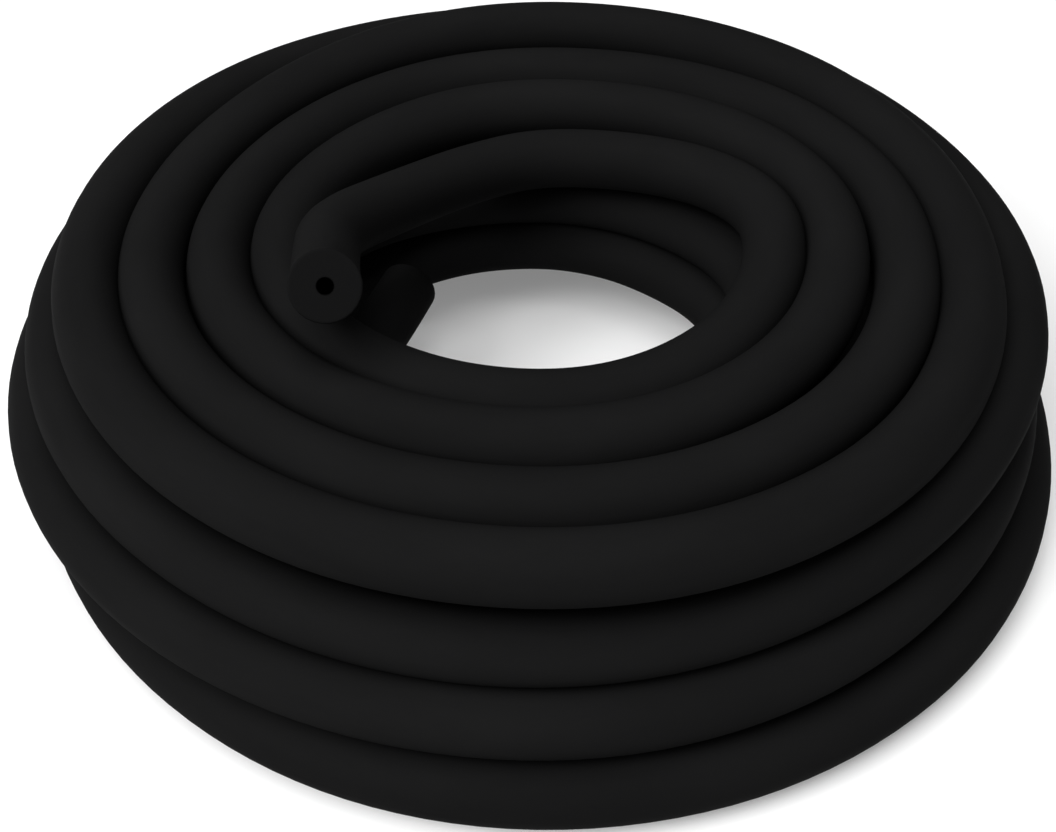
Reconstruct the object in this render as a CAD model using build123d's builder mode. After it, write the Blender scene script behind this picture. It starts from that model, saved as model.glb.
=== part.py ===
"""Soaker hose: one thick-walled rubber hose wound by hand into a round, open-centred coil.

The hose is a single length with two bare, square-cut ends. Its coiled length is one closed solid of
the coil's outer shape, hose_coil: every turn that shows, on a plain core under that skin of turns.
The two lengths that lie free are tubes with their real bore. hose_top_end leaves the first turn and
climbs over the next one, and hose_inner_end lies loose inside the eye of the coil.

Millimetres, +Z up. The origin is on the ground under the middle of the coil. Seen from above, the
hose runs clockwise from its top end: left (-X), back (+Y), right (+X), front (-Y).
"""
import os
from math import pi, radians, tan

from build123d import *

os.makedirs("parts", exist_ok=True)

# --- the hose ---------------------------------------------------------------------------------
HOSE_DIAMETER = 12.7
BORE_DIAMETER = 2.9
HOSE_RADIUS = HOSE_DIAMETER / 2
BORE_RADIUS = BORE_DIAMETER / 2

# --- the coil's turns -------------------------------------------------------------------------
# Each turn is (left reach, left height, right reach, right height): how far the hose's centre line
# is from the YZ plane where it crosses the seam, and how high it is there.
GROUND_ROW = HOSE_RADIUS
TOP_SPIRAL = [
    (52.0, 43.0, 60.0, 44.0),
    (65.5, 43.0, 73.5, 43.5),
    (78.5, 43.0, 87.0, 43.5),
]
OUTER_WALL = [
    (91.5, 43.5, 96.5, 34.5),
    (97.5, 30.5, 100.0, 20.5),
    (104.0, 17.5, 104.0, GROUND_ROW),
]
BOTTOM_SPIRAL = [
    (100.0, GROUND_ROW, 91.0, GROUND_ROW),
    (87.0, GROUND_ROW, 78.0, GROUND_ROW),
    (74.0, GROUND_ROW, 65.0, GROUND_ROW),
    (61.0, GROUND_ROW, 52.0, GROUND_ROW),
]
INNER_WALL = [
    (52.0, 18.0, 40.0, 17.5),
    (50.0, 24.0, 42.0, 31.0),
]
SEAM_Y = -1.0
INNER_SEAM_Y = -5.0

# The first and last turns start and stop part way round, where the free lengths leave the coil.
FIRST_TURN_RIGHT = 47.0
FIRST_TURN_HEIGHT = 44.0
FIRST_TURN_RADIUS = 33.0
LAST_TURN_RADIUS = 36.0

# --- the core under the turns: (radius, height) round its section -------------------------------
CORE_SECTION = [
    (48.0, 18.0),
    (48.0, 31.0),
    (58.0, 42.0),
    (86.0, 42.0),
    (93.0, 33.0),
    (97.0, 19.0),
    (92.0, 8.0),
    (54.0, 8.0),
]

# --- the free lengths ---------------------------------------------------------------------------
# Each leaves the coil square to the face that it shares with it, runs straight ahead to its first
# corner and then goes through these points to its bare end.
FIRST_RUN = 13.0
TOP_END_ROUTE = [
    (-15.0, 24.5, 44.5),
    (-31.0, 10.0, 47.5),
    (-41.5, -10.0, 52.5),
    (-40.0, -24.0, 55.0),
    (-38.2, -36.7, 59.3),
    (-36.5, -45.3, 66.0),
]
INNER_END_ROUTE = [
    (-23.5, -30.0, 26.5),
    (-34.0, -12.0, 21.0),
    (-34.5, 3.0, 19.0),
    (-30.5, 15.0, 19.0),
]
ARC_SHARE = 0.45
CLOCKWISE = (0, 0, -1)


def turn(start, heading, centre, axis_direction, degrees):
    """Solid hose that leaves start along heading and goes round centre."""
    with BuildSketch(Plane(origin=start, z_dir=heading)) as section:
        Circle(HOSE_RADIUS)
    revolve(section.sketch, axis=Axis(centre, axis_direction), revolution_arc=degrees)


def half_turn(start, end, seam_y, toward):
    """Half a turn from start to end, each (x, z), round the back (1) or the front (-1)."""
    start_point = Vector(start[0], seam_y, start[1])
    end_point = Vector(end[0], seam_y, end[1])
    heading = Vector(0, toward, 0)
    turn_axis = heading.cross(end_point - start_point)
    turn(start_point, heading, (start_point + end_point) / 2, turn_axis, 180)


def seam_stations(turns):
    """The points where turns cross the seam, in the order of winding: left, right, left, right."""
    stations = []
    for left_reach, left_height, right_reach, right_height in turns:
        stations.append((-left_reach, left_height))
        stations.append((right_reach, right_height))
    return stations


def wind(stations, seam_y, toward):
    """Half turns through all the stations, the first of them round the back (1) or the front (-1)."""
    for start, end in zip(stations, stations[1:]):
        half_turn(start, end, seam_y, toward)
        toward = -toward


def arc_radii(route):
    """The largest tangent arc that the two runs at each corner of a route leave room for."""
    radii = []
    for before, corner, after in zip(route, route[1:], route[2:]):
        run_in = Vector(corner) - Vector(before)
        run_out = Vector(after) - Vector(corner)
        half_angle = radians(run_in.get_angle(run_out)) / 2
        radii.append(ARC_SHARE * min(run_in.length, run_out.length) / tan(half_angle))
    return radii


def free_length(face, points, label):
    """A hose of real bore from a face of the coil, along straight runs joined by tangent arcs."""
    route = [tuple(face), tuple(face - Vector(FIRST_RUN, 0, 0))] + points
    radii = arc_radii(route)
    with BuildPart() as hose:
        with BuildLine():
            path = FilletPolyline(*route, radius=radii)
        with BuildSketch(Plane(origin=path @ 0, z_dir=path % 0)):
            Circle(HOSE_RADIUS)
            Circle(BORE_RADIUS, mode=Mode.SUBTRACT)
        sweep(path=path)
    section = pi * (HOSE_RADIUS**2 - BORE_RADIUS**2)
    print(label, "arc radii", [round(radius, 1) for radius in radii])
    print(label, "length", round(path.length, 1), "volume / (section x length)",
          round(hose.part.volume / (section * path.length), 4))
    hose.part.label = label
    export_step(hose.part, f"parts/{label}.step")


first_centre = Vector(FIRST_TURN_RIGHT - FIRST_TURN_RADIUS, SEAM_Y, FIRST_TURN_HEIGHT)
first_face = first_centre + Vector(0, FIRST_TURN_RADIUS, 0)
outer_turns = seam_stations(TOP_SPIRAL + OUTER_WALL + BOTTOM_SPIRAL)
climb_start = Vector(outer_turns[-1][0], SEAM_Y, outer_turns[-1][1])
last_right, last_height = seam_stations(INNER_WALL)[-1]
last_start = Vector(last_right, INNER_SEAM_Y, last_height)
last_centre = last_start - Vector(LAST_TURN_RADIUS, 0, 0)
last_face = last_centre - Vector(0, LAST_TURN_RADIUS, 0)

# --- hose_coil ----------------------------------------------------------------------------------
with BuildPart() as hose_coil:
    with BuildSketch(Plane.XZ.offset(-SEAM_Y)):
        with BuildLine():
            Polyline(*CORE_SECTION, close=True)
        make_face()
    revolve(axis=Axis((0, SEAM_Y, 0), (0, 0, 1)), revolution_arc=360)
    turn(first_face, (1, 0, 0), first_centre, CLOCKWISE, 90)
    wind([(FIRST_TURN_RIGHT, FIRST_TURN_HEIGHT)] + outer_turns, SEAM_Y, -1)
    with BuildSketch(Plane(origin=climb_start, z_dir=(0, -1, 0))):
        Circle(HOSE_RADIUS)
    extrude(amount=SEAM_Y - INNER_SEAM_Y)
    wind([outer_turns[-1]] + seam_stations(INNER_WALL), INNER_SEAM_Y, -1)
    turn(last_start, (0, -1, 0), last_centre, CLOCKWISE, 90)
hose_coil.part.label = "hose_coil"
export_step(hose_coil.part, "parts/hose_coil.step")
print("hose_coil solids", len(hose_coil.part.solids()), "volume", round(hose_coil.part.volume))

# --- hose_top_end and hose_inner_end --------------------------------------------------------------
free_length(first_face, TOP_END_ROUTE, "hose_top_end")
free_length(last_face, INNER_END_ROUTE, "hose_inner_end")
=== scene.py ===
"""Looks of the coiled soaker hose: one matte black rubber hose, wound by hand, on a pale studio floor.

The hose's route is in millimetres, like the CAD part's. Everything that Blender holds is in metres.
Seen from above, the hose runs clockwise from its top end: left (-X), back (+Y), right (+X), front (-Y).
"""
import math

import bpy
import numpy as np
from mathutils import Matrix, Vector, noise


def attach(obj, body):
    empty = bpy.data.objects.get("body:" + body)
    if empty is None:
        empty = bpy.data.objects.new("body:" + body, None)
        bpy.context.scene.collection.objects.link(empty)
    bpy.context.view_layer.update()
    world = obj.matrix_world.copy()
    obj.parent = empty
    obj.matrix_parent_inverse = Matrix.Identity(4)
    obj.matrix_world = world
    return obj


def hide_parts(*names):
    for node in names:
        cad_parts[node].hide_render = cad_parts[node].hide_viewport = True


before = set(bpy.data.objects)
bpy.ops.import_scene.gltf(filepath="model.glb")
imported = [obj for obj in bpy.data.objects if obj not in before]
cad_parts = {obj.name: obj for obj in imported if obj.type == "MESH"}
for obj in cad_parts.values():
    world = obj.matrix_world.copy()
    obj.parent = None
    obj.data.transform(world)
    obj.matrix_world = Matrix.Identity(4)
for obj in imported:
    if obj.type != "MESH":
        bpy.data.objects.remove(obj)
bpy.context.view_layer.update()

MM = 0.001

# --- the hose ------------------------------------------------------------------------------------
HOSE_RADIUS = 6.35
BORE_RADIUS = 1.45

# --- its route -----------------------------------------------------------------------------------
# The free lengths follow the CAD part's, within about 4 mm of its tubes, with points moved or added
# to follow the photograph. The first starts at the bare top end, the last stops at the bare end in the eye.
TOP_END = [
    (-36.5, -45.3, 66.0),
    (-38.2, -36.7, 59.3),
    (-40.0, -24.0, 55.0),
    (-41.2, -10.2, 52.2),
    (-29.4, 8.6, 46.2),
    (-14.6, 23.2, 43.5),
]
INNER_END = [
    (7.0, -42.5, 31.0),
    (-7.0, -41.0, 31.0),
    (-22.0, -34.0, 27.5),
    (-33.0, -23.0, 23.5),
    (-37.0, -9.5, 20.5),
    (-33.2, 2.5, 19.0),
    (-29.4, 14.5, 19.0),
]
# Each turn has four stations, at the left, back, right and front of the coil. A station is (reach from
# the coil's middle, height), and a third number where the hose bulges out half way to the next station.
# The first turn starts at its back, where the top end leaves it, and the last one stops at its front.
# Most stations of the turns in view come from a least-squares fit of the coil's outlines to the
# photograph, rounded to about half a millimetre and partly moved. The hidden turns are guesses.
GROUND = HOSE_RADIUS
FIRST_TURN = [(29.7, 42.9, 1.6), (47.0, 44.0), (48.5, 42.0)]
TOP_SPIRAL = [
    [(52.5, 42.5, -0.8), (46.0, 46.0, 1.8), (59.5, 44.0, -0.5), (61.0, 44.5)],
    [(65.0, 42.5, -0.8), (63.5, 44.5, 2.3), (73.0, 43.0), (74.5, 44.0)],
    [(78.0, 43.5, -0.8), (76.5, 49.8, 3.5), (85.2, 42.5, 0.5), (88.0, 44.5)],
]
OUTER_WALL = [
    [(90.0, 44.5, 0.8), (90.5, 41.5, 2.0), (95.8, 36.0, -1.2), (91.6, 28.4)],
    [(98.3, 32.5, 0.5), (98.5, 30.0, -0.5), (97.0, 20.5, -0.5), (98.3, 18.0)],
    [(105.0, 19.0), (102.5, 17.5), (103.0, GROUND, 0.7), (104.0, GROUND)],
]
BOTTOM_SPIRAL = [
    [(100.5, GROUND), (94.5, GROUND), (90.0, GROUND), (91.3, GROUND)],
    [(87.0, GROUND), (82.5, GROUND), (77.3, GROUND), (77.0, GROUND)],
    [(74.0, GROUND), (70.0, GROUND), (64.5, GROUND), (64.0, GROUND)],
    [(62.0, GROUND), (56.0, GROUND), (51.5, GROUND), (51.0, GROUND)],
]
HIDDEN_MIDDLE = [
    [(49.5, 10.0, 2.6), (34.2, 17.0, -2.4), (42.8, 16.0), (46.5, 19.0, 2.8)],
    [(64.0, 19.0), (49.0, 18.5), (57.0, 18.5), (59.2, 18.5, 2.2)],
    [(76.7, 18.7), (65.8, 18.5), (70.3, 18.5), (71.5, 18.5, 2.0)],
    [(91.0, 18.7), (79.3, 18.5), (85.0, 18.5), (78.5, 31.0)],
    [(74.0, 31.0), (62.0, 31.0), (65.0, 31.0), (61.0, 31.0)],
]
LAST_TURN = [(52.0, 30.3), (36.0, 29.0, -1.5), (46.0, 28.2), (43.0, 31.0)]
POINTS_PER_QUARTER = 4
FIRST_STATION = math.radians(90)

# --- the tube's mesh -----------------------------------------------------------------------------
SIDES = 28
RINGS_PER_SPAN = 9
BORE_RING_STEP = 4
RIM_ROUNDING = 0.3
BORE_ROUNDING = 0.15
ARC_SHARE = 0.3  # how far along a rounding its middle ring stands
FACE_RING_SHARE = 0.62
WAVER = 0.004
WAVER_PER_METRE = 9.0
CLOSEST_RINGS = 1e-6
SKIN, CUT, BORE = 0, 1, 2


def coil_points():
    """Control points of the wound length, worked out turn by turn between the stations."""
    turns = TOP_SPIRAL + OUTER_WALL + BOTTOM_SPIRAL + HIDDEN_MIDDLE
    stations = FIRST_TURN + [station for turn in turns for station in turn] + LAST_TURN
    step = math.pi / 2 / POINTS_PER_QUARTER
    outward = 1 / math.cos(step / 2)  # the spline runs inside its control points by this much
    points = []
    for number, (here, there) in enumerate(zip(stations, stations[1:])):
        angle_here = FIRST_STATION - number * math.pi / 2
        angle_there = angle_here - math.pi / 2
        bulge = here[2] if len(here) == 3 else 0.0
        for k in range(POINTS_PER_QUARTER):
            swing = k * step
            along_here = here[0] * math.cos(swing)
            along_there = there[0] * math.sin(swing)
            reach = math.hypot(along_here, along_there)
            scale = outward * (1 + bulge * math.sin(2 * swing) ** 2 / reach)
            points.append((
                scale * (along_here * math.cos(angle_here) + along_there * math.cos(angle_there)),
                scale * (along_here * math.sin(angle_here) + along_there * math.sin(angle_there)),
                here[1] + (there[1] - here[1]) * math.sin(swing) ** 2,
            ))
    return points


def spline_line(points):
    """Points along the smooth NURBS line that has these control points, read from the curve itself."""
    data = bpy.data.curves.new("hose_route", "CURVE")
    data.dimensions = "3D"
    data.resolution_u = RINGS_PER_SPAN
    spline = data.splines.new("NURBS")
    spline.points.add(len(points) - 1)
    for target, point in zip(spline.points, points):
        target.co = (point[0] * MM, point[1] * MM, point[2] * MM, 1.0)
    spline.order_u = 3
    spline.use_endpoint_u = True
    holder = bpy.data.objects.new("hose_route", data)
    bpy.context.scene.collection.objects.link(holder)
    bpy.context.view_layer.update()
    line = bpy.data.meshes.new_from_object(holder)
    found = np.array([vertex.co[:] for vertex in line.vertices])
    bpy.data.meshes.remove(line)
    bpy.data.objects.remove(holder)
    bpy.data.curves.remove(data)
    apart = np.linalg.norm(np.diff(found, axis=0), axis=1)
    return found[np.concatenate([[True], apart > CLOSEST_RINGS])]


def unit(vectors):
    return vectors / np.linalg.norm(vectors, axis=-1, keepdims=True)


def carried_frames(line):
    """Tangents and two normals at each point of the line, carried along it without twisting."""
    tangents = unit(np.gradient(line, axis=0))
    normals = np.empty_like(line)
    up = np.array([0.0, 0.0, 1.0])
    normals[0] = unit(up - tangents[0] * np.dot(up, tangents[0]))
    for i in range(1, len(line)):
        carried = normals[i - 1] - tangents[i] * np.dot(normals[i - 1], tangents[i])
        normals[i] = unit(carried)
    return tangents, normals, np.cross(tangents, normals)


def build_hose(line):
    """The hose as one closed tube with a through bore, square-cut ends and slightly softened rims."""
    tangents, normals, binormals = carried_frames(line)
    along = np.concatenate([[0.0], np.cumsum(np.linalg.norm(np.diff(line, axis=0), axis=1))])
    total = along[-1]
    angles = np.arange(SIDES) * 2 * math.pi / SIDES
    round_x, round_y = np.cos(angles), np.sin(angles)
    last = len(line) - 1

    rings, materials = [], []

    def ring(index, radius, inset=0.0, material=SKIN, into=1.0):
        """A ring at a point of the line, set back from the cut face by inset."""
        centre = line[index] + tangents[index] * inset * into * MM
        circle = normals[index] * round_x[:, None] + binormals[index] * round_y[:, None]
        rings.append((centre + circle * radius * MM, along[index] + inset * into * MM, radius))
        materials.append(material)

    def skin_radius(index):
        """The extruded skin is never quite even: a slow waver of a few hundredths of a millimetre."""
        waver = noise.noise(Vector((along[index] * WAVER_PER_METRE, 0.7, 3.1)))
        return HOSE_RADIUS * (1 - WAVER * (1 + waver))

    def end_face(index, into, outward_first):
        """Rings across one cut end, from the skin's rim to the bore's, or the other way round."""
        edge = skin_radius(index)
        steps = [
            (edge, RIM_ROUNDING, SKIN),
            (edge - RIM_ROUNDING * ARC_SHARE, RIM_ROUNDING * ARC_SHARE, CUT),
            (edge - RIM_ROUNDING, 0.0, CUT),
            (edge - RIM_ROUNDING * 2, 0.0, CUT),
            (edge * FACE_RING_SHARE, 0.0, CUT),
            (BORE_RADIUS + BORE_ROUNDING * 2, 0.0, CUT),
            (BORE_RADIUS + BORE_ROUNDING, 0.0, CUT),
            (BORE_RADIUS + BORE_ROUNDING * ARC_SHARE, BORE_ROUNDING * ARC_SHARE, BORE),
            (BORE_RADIUS, BORE_ROUNDING, BORE),
        ]
        if not outward_first:
            steps.reverse()
        for radius, inset, material in steps:
            ring(index, radius, inset, material, into)

    for index in range(1, last):
        ring(index, skin_radius(index), material=SKIN)
    end_face(last, -1.0, True)
    for index in range(last - 1, 0, -BORE_RING_STEP):
        ring(index, BORE_RADIUS, material=BORE)
    end_face(0, 1.0, False)

    vertices = np.concatenate([circle for circle, _, _ in rings])
    faces, uvs, slots = [], [], []
    girth = 2 * math.pi * HOSE_RADIUS * MM
    for r in range(len(rings)):
        following = (r + 1) % len(rings)
        here, there = r * SIDES, following * SIDES
        v_here, v_there = rings[r][1] / girth, rings[following][1] / girth
        slot = max(materials[r], materials[following])
        for k in range(SIDES):
            nxt = (k + 1) % SIDES
            faces.append((here + k, here + nxt, there + nxt, there + k))
            uvs.extend([
                (k / SIDES, v_here), ((k + 1) / SIDES, v_here),
                ((k + 1) / SIDES, v_there), (k / SIDES, v_there),
            ])
            slots.append(slot)

    mesh = bpy.data.meshes.new("soaker_hose")
    mesh.from_pydata(vertices.tolist(), [], faces)
    layer = mesh.uv_layers.new(name="around_and_along")
    layer.data.foreach_set("uv", np.array(uvs, dtype=np.float32).ravel())
    mesh.polygons.foreach_set("material_index", slots)
    mesh.polygons.foreach_set("use_smooth", [True] * len(faces))

    # the place of each point on the straight hose, before it was wound, for materials without a seam
    place = mesh.attributes.new("hose_space", "FLOAT_VECTOR", "POINT")
    straight = np.concatenate([
        np.stack([round_x * radius * MM, round_y * radius * MM, np.full(SIDES, station)], axis=1)
        for _, station, radius in rings
    ])
    place.data.foreach_set("vector", straight.astype(np.float32).ravel())
    mesh.update()
    piece = bpy.data.objects.new("soaker_hose", mesh)
    bpy.context.scene.collection.objects.link(piece)
    return piece, total


# --- materials -----------------------------------------------------------------------------------
SKIN_DARK, SKIN_LIGHT = (0.0064, 0.0064, 0.0065, 1.0), (0.0082, 0.0082, 0.0083, 1.0)
CUT_DARK, CUT_LIGHT = (0.0050, 0.0050, 0.0051, 1.0), (0.0068, 0.0068, 0.0069, 1.0)
# painted shade: the bore's colours are darker than the skin's, for the shade inside the narrow bore
BORE_DARK, BORE_LIGHT = (0.002, 0.002, 0.002, 1.0), (0.004, 0.004, 0.004, 1.0)
SKIN_IOR = 1.06  # low, so that grazing rims stay as dull as the photograph's
CUT_IOR = 1.05
DEEP_RELIEF = 0.0001
FINE_RELIEF = 0.00006


class Nodes:
    """A small helper that adds nodes to one material and joins them."""

    def __init__(self, name):
        self.material = bpy.data.materials.new(name)
        self.material.use_nodes = True
        self.tree = self.material.node_tree
        self.shader = self.tree.nodes["Principled BSDF"]

    def add(self, kind, inputs=(), **settings):
        node = self.tree.nodes.new(kind)
        for key, value in settings.items():
            setattr(node, key, value)
        for key, value in dict(inputs).items():
            if isinstance(value, bpy.types.NodeSocket):
                self.tree.links.new(value, node.inputs[key])
            else:
                node.inputs[key].default_value = value
        return node

    def link(self, socket, target):
        self.tree.links.new(socket, target)

    def hose_space(self, scale):
        """The place on the straight hose, stretched by scale (across, across, along), in 1/m."""
        place = self.add("ShaderNodeAttribute", attribute_name="hose_space")
        return self.add(
            "ShaderNodeVectorMath", {0: place.outputs["Vector"], 1: scale}, operation="MULTIPLY"
        ).outputs["Vector"]

    def noise(self, scale, detail=3.0, roughness=0.5):
        return self.add(
            "ShaderNodeTexNoise",
            {"Vector": self.hose_space(scale), "Scale": 1.0, "Detail": detail, "Roughness": roughness},
        ).outputs["Fac"]

    def spread(self, value, low, high, low_to, high_to):
        return self.add(
            "ShaderNodeMapRange",
            {"Value": value, "From Min": low, "From Max": high, "To Min": low_to, "To Max": high_to},
        ).outputs["Result"]


def rubber_skin():
    """Extruded rubber: fine lengthwise die lines, an even grain and a few shallow pores."""
    n = Nodes("rubber_skin")
    die_lines = n.noise((2600.0, 2600.0, 45.0), 3.0, 0.6)
    grain = n.noise((3200.0, 3200.0, 3200.0), 2.0, 0.5)
    cloud = n.noise((60.0, 60.0, 22.0), 4.0, 0.6)
    smears = n.noise((420.0, 420.0, 28.0), 4.0, 0.65)
    tone = n.add("ShaderNodeMixRGB", {
        "Fac": n.spread(cloud, 0.3, 0.7, 0.0, 1.0),
        "Color1": SKIN_DARK,
        "Color2": SKIN_LIGHT,
    })
    n.link(tone.outputs["Color"], n.shader.inputs["Base Color"])
    n.link(n.spread(smears, 0.35, 0.7, 0.72, 0.86), n.shader.inputs["Roughness"])
    n.shader.inputs["IOR"].default_value = SKIN_IOR
    pores = n.add("ShaderNodeTexVoronoi", {"Vector": n.hose_space((900.0, 900.0, 700.0)), "Scale": 1.0})
    pits = n.spread(pores.outputs["Distance"], 0.0, 0.22, 0.0, 1.0)
    first = n.add("ShaderNodeBump", {"Height": die_lines, "Strength": 0.18, "Distance": DEEP_RELIEF})
    second = n.add(
        "ShaderNodeBump",
        {"Height": grain, "Strength": 0.25, "Distance": FINE_RELIEF, "Normal": first.outputs["Normal"]},
    )
    third = n.add(
        "ShaderNodeBump",
        {"Height": pits, "Strength": 0.15, "Distance": FINE_RELIEF, "Normal": second.outputs["Normal"]},
    )
    n.link(third.outputs["Normal"], n.shader.inputs["Normal"])
    return n.material


def cut_rubber():
    """The knife-cut end: dead matte, with the fine granules of the rubber laid bare."""
    n = Nodes("cut_rubber")
    granules = n.noise((2200.0, 2200.0, 2200.0), 4.0, 0.7)
    knife = n.noise((260.0, 3400.0, 260.0), 2.0, 0.5)
    tone = n.add("ShaderNodeMixRGB", {
        "Fac": granules,
        "Color1": CUT_DARK,
        "Color2": CUT_LIGHT,
    })
    n.link(tone.outputs["Color"], n.shader.inputs["Base Color"])
    n.link(n.spread(granules, 0.3, 0.7, 0.8, 0.95), n.shader.inputs["Roughness"])
    n.shader.inputs["IOR"].default_value = CUT_IOR
    first = n.add("ShaderNodeBump", {"Height": granules, "Strength": 0.2, "Distance": DEEP_RELIEF})
    second = n.add(
        "ShaderNodeBump",
        {"Height": knife, "Strength": 0.1, "Distance": DEEP_RELIEF, "Normal": first.outputs["Normal"]},
    )
    n.link(second.outputs["Normal"], n.shader.inputs["Normal"])
    return n.material


def bore_rubber_with_painted_shade():
    """The bore's wall: rougher than the skin, and coloured darker than it as painted shade inside the bore.
    """
    n = Nodes("bore_rubber_with_painted_shade")
    granules = n.noise((1800.0, 1800.0, 900.0), 3.0, 0.6)
    tone = n.add("ShaderNodeMixRGB", {
        "Fac": granules,
        "Color1": BORE_DARK,
        "Color2": BORE_LIGHT,
    })
    n.link(tone.outputs["Color"], n.shader.inputs["Base Color"])
    n.link(n.spread(granules, 0.3, 0.7, 0.85, 0.95), n.shader.inputs["Roughness"])
    n.shader.inputs["IOR"].default_value = CUT_IOR
    return n.material


# --- the hose itself -----------------------------------------------------------------------------
route = TOP_END + coil_points() + INNER_END
hose_line = spline_line(route)
hose, measured = build_hose(hose_line)
print("route length", round(measured, 4), "m")
for material in (rubber_skin(), cut_rubber(), bore_rubber_with_painted_shade()):
    hose.data.materials.append(material)
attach(hose, "root")
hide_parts("hose_coil", "hose_top_end", "hose_inner_end")

# --- floor, light and camera -----------------------------------------------------------------------
FLOOR_SIZE = 40.0
FLOOR_TONE = (0.72, 0.72, 0.72, 1.0)
WHITE = (1.0, 1.0, 1.0, 1.0)
STUDIO_STRENGTH = 0.24
# painted light: the floor's emission, a pool of glow around the coil that fades out further away
FLOOR_PAINTED_GLOW = (0.3, 1.6, 0.22, 0.0)  # reach where it starts to fade and ends, glow there


def add_floor():
    """A plain pale floor with painted light: it glows a little near the coil, so that it reads as white."""
    data = bpy.data.meshes.new("floor")
    half = FLOOR_SIZE / 2
    corners = [(-half, -half, 0), (half, -half, 0), (half, half, 0), (-half, half, 0)]
    data.from_pydata(corners, [], [(0, 1, 2, 3)])
    floor = bpy.data.objects.new("floor", data)
    bpy.context.scene.collection.objects.link(floor)
    paint = bpy.data.materials.new("floor_white")
    paint.use_nodes = True
    shader = paint.node_tree.nodes["Principled BSDF"]
    shader.inputs["Base Color"].default_value = FLOOR_TONE
    shader.inputs["Roughness"].default_value = 0.9
    shader.inputs["Specular IOR Level"].default_value = 0.1
    shader.inputs["Emission Color"].default_value = WHITE
    place = paint.node_tree.nodes.new("ShaderNodeTexCoord")
    reach = paint.node_tree.nodes.new("ShaderNodeVectorMath")
    reach.operation = "LENGTH"
    painted_glow = paint.node_tree.nodes.new("ShaderNodeMapRange")
    painted_glow.interpolation_type = "SMOOTHSTEP"
    for socket, value in zip(("From Min", "From Max", "To Min", "To Max"), FLOOR_PAINTED_GLOW):
        painted_glow.inputs[socket].default_value = value
    paint.node_tree.links.new(place.outputs["Object"], reach.inputs[0])
    paint.node_tree.links.new(reach.outputs["Value"], painted_glow.inputs["Value"])
    # painted light: the emission strength follows the reach from the coil
    paint.node_tree.links.new(painted_glow.outputs["Result"], shader.inputs["Emission Strength"])
    data.materials.append(paint)


def add_light(name, place, size, energy):
    """A square soft box that faces the coil."""
    data = bpy.data.lights.new(name, "AREA")
    data.shape = "SQUARE"
    data.size = size
    data.energy = energy
    light = bpy.data.objects.new(name, data)
    light.location = place
    light.rotation_euler = (-Vector(place)).to_track_quat("-Z", "Y").to_euler()
    bpy.context.scene.collection.objects.link(light)


add_floor()
add_light("key_light", (-0.85, -0.6, 1.0), 0.8, 18.0)
add_light("top_light", (-0.1, -0.1, 1.3), 1.0, 12.0)
add_light("fill_light", (0.9, -0.5, 0.6), 0.8, 0.6)
world = bpy.data.worlds.new("studio")
bpy.context.scene.world = world
world.use_nodes = True
world.node_tree.nodes["Background"].inputs["Color"].default_value = WHITE
world.node_tree.nodes["Background"].inputs["Strength"].default_value = STUDIO_STRENGTH
bpy.context.scene.view_settings.view_transform = "Standard"

CAMERA_TARGET = Vector((-0.00266, -0.0276, 0.01905))
CAMERA_DISTANCE = 0.2621
CAMERA_ELEVATION = math.radians(43.8)
CAMERA_LENS = 44.32
CAMERA_SENSOR = 36.0
CAMERA_NEAR = 0.01
camera_data = bpy.data.cameras.new("camera")
camera_data.lens = CAMERA_LENS
camera_data.sensor_width = CAMERA_SENSOR
camera_data.clip_start = CAMERA_NEAR
camera = bpy.data.objects.new("camera", camera_data)
back = Vector((0.0, -math.cos(CAMERA_ELEVATION), math.sin(CAMERA_ELEVATION)))
camera.location = CAMERA_TARGET + back * CAMERA_DISTANCE
camera.rotation_euler = (-back).to_track_quat("-Z", "Y").to_euler()
bpy.context.scene.collection.objects.link(camera)
bpy.context.scene.camera = camera
